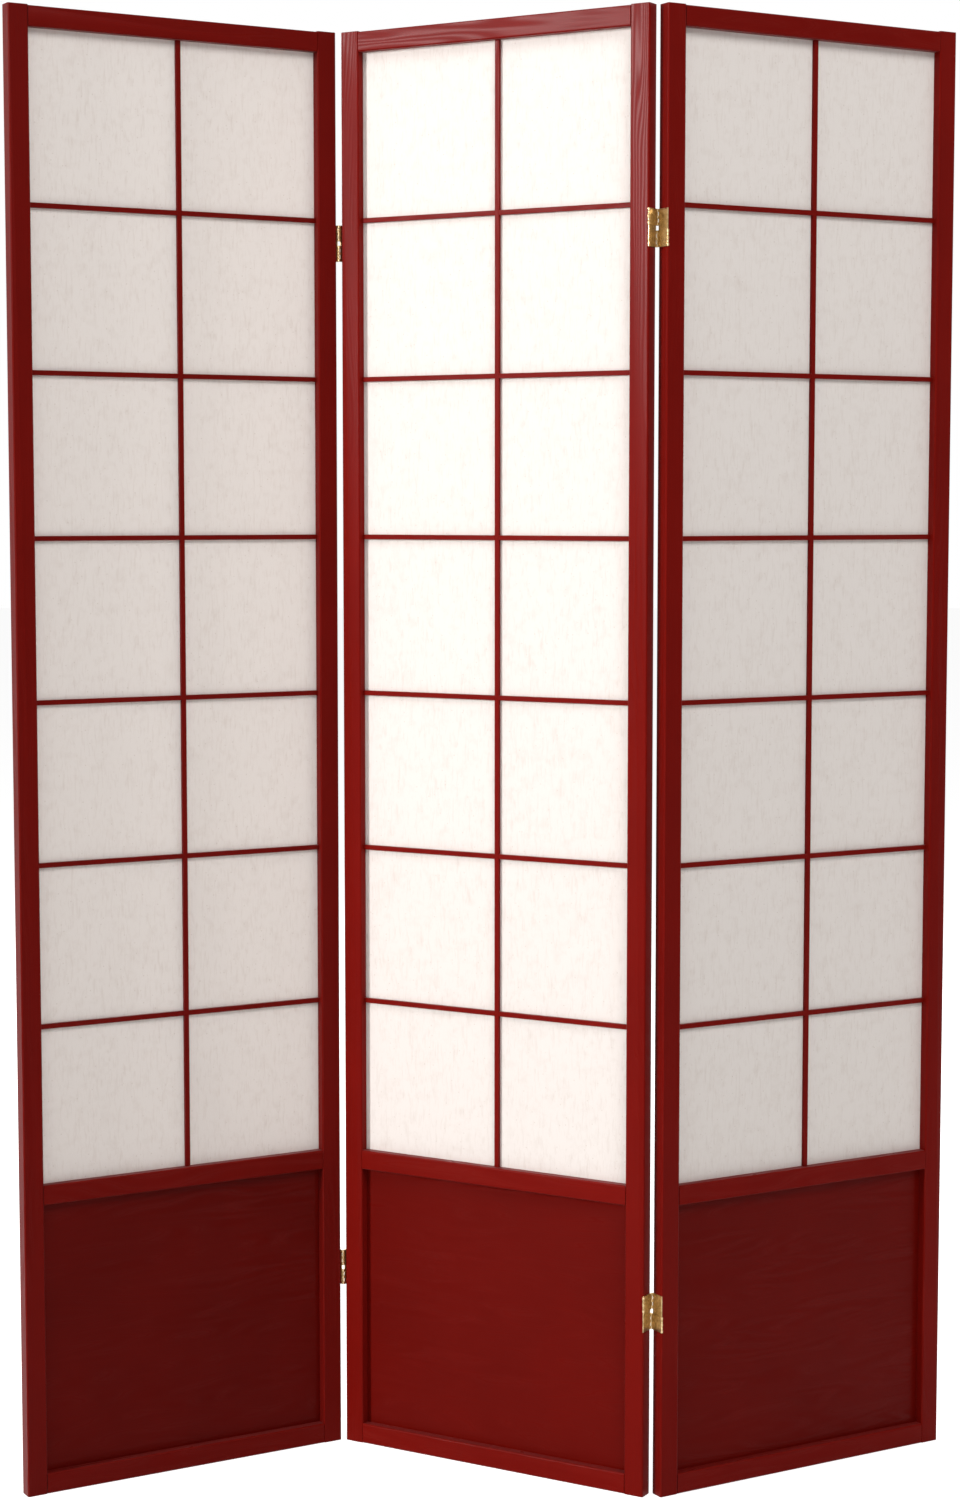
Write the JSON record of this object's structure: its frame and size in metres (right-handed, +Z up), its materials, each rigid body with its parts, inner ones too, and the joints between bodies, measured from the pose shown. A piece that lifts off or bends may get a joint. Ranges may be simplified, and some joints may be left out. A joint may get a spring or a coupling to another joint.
{
  "type": "folding screen",
  "caption": "Free-standing folding screen of hinged wooden frames with papered lattice windows above solid kick panels; the panels fold in a zigzag or shut flat.",
  "frame": {"origin": "on the floor, in the middle of the footprint of the screen as it stands folded in a zigzag", "axes": "+X along the row of panels from left to right as seen from the front, -Y towards the front, where the lattice stands proud of the paper, +Z up"},
  "size_m": [1.1566, 0.2414, 1.8],
  "materials": {
    "frame_wood": "dark red-brown stain under satin lacquer",
    "lattice_wood": "dark red-brown stain under satin lacquer",
    "kick_panel_wood": "dark red-brown stain under satin lacquer",
    "paper": "matt, with faint upright fibres",
    "hinge_brass": "polished"
  },
  "bodies": {
    "middle_panel": {"left_fold_lower_hinge_high_link": "hinge_brass", "left_fold_lower_hinge_right_leaf": "hinge_brass", "left_fold_upper_hinge_high_link": "hinge_brass", "left_fold_upper_hinge_right_leaf": "hinge_brass", "middle_panel_bottom_rail": "frame_wood", "middle_panel_cross_bars": "lattice_wood", "middle_panel_kick_panel": "kick_panel_wood", "middle_panel_left_hinge_pins": "hinge_brass", "middle_panel_left_stile": "frame_wood", "middle_panel_mid_rail": "frame_wood", "middle_panel_paper": "paper", "middle_panel_paper_stops": "lattice_wood", "middle_panel_right_hinge_pins": "hinge_brass", "middle_panel_right_stile": "frame_wood", "middle_panel_top_rail": "frame_wood", "middle_panel_upright": "lattice_wood", "right_fold_lower_hinge_high_link": "hinge_brass", "right_fold_lower_hinge_left_leaf": "hinge_brass", "right_fold_upper_hinge_high_link": "hinge_brass", "right_fold_upper_hinge_left_leaf": "hinge_brass"},
    "left_panel": {"left_fold_lower_hinge_left_leaf": "hinge_brass", "left_fold_lower_hinge_low_link": "hinge_brass", "left_fold_upper_hinge_left_leaf": "hinge_brass", "left_fold_upper_hinge_low_link": "hinge_brass", "left_panel_bottom_rail": "frame_wood", "left_panel_cross_bars": "lattice_wood", "left_panel_kick_panel": "kick_panel_wood", "left_panel_left_stile": "frame_wood", "left_panel_mid_rail": "frame_wood", "left_panel_paper": "paper", "left_panel_paper_stops": "lattice_wood", "left_panel_right_hinge_pins": "hinge_brass", "left_panel_right_stile": "frame_wood", "left_panel_top_rail": "frame_wood", "left_panel_upright": "lattice_wood"},
    "right_panel": {"right_fold_lower_hinge_low_link": "hinge_brass", "right_fold_lower_hinge_right_leaf": "hinge_brass", "right_fold_upper_hinge_low_link": "hinge_brass", "right_fold_upper_hinge_right_leaf": "hinge_brass", "right_panel_bottom_rail": "frame_wood", "right_panel_cross_bars": "lattice_wood", "right_panel_kick_panel": "kick_panel_wood", "right_panel_left_hinge_pins": "hinge_brass", "right_panel_left_stile": "frame_wood", "right_panel_mid_rail": "frame_wood", "right_panel_paper": "paper", "right_panel_paper_stops": "lattice_wood", "right_panel_right_stile": "frame_wood", "right_panel_top_rail": "frame_wood", "right_panel_upright": "lattice_wood"}
  },
  "joints": [
    {"name": "left_fold", "type": "hinge", "parent": "middle_panel", "child": "left_panel", "pos_m": [-0.19304, 0.0998, 0], "axis": [0, 0, 1], "range_deg": [-60.4, 119.6]},
    {"name": "right_fold", "type": "hinge", "parent": "middle_panel", "child": "right_panel", "pos_m": [0.19445, -0.0998, 0], "axis": [0, 0, 1], "range_deg": [-60.4, 119.6]}
  ]
}
